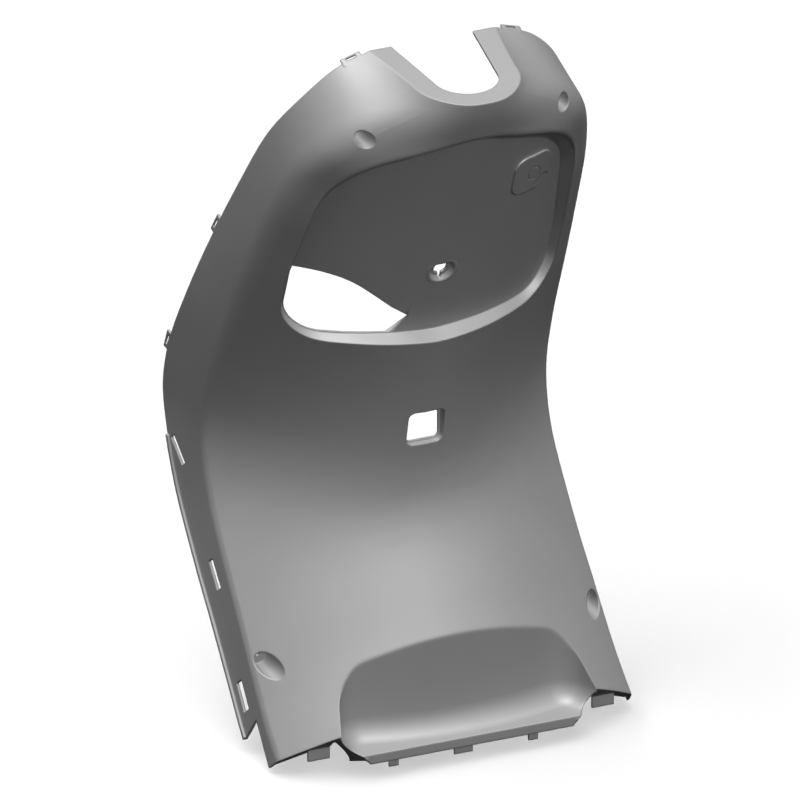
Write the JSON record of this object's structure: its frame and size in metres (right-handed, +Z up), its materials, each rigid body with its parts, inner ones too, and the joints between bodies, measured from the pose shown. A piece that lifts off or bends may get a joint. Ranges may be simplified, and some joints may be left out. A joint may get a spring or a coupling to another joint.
{
  "type": "scooter_front_panel",
  "caption": "Inner front panel of a motor scooter: a bowed moulded shell with a notched collar, a shallow glove recess, a hook socket and an arched foot niche.",
  "frame": {"origin": "midway between the two upper screw holes, on the seats of the screws", "axes": "+X to the rider's right, -Y towards the rider, +Z up"},
  "size_m": [0.375, 0.3274, 0.7017],
  "materials": {
    "moulded_plastic": "fine matte mould texture"
  },
  "bodies": {
    "root": {"front_panel": "moulded_plastic"}
  },
  "joints": []
}
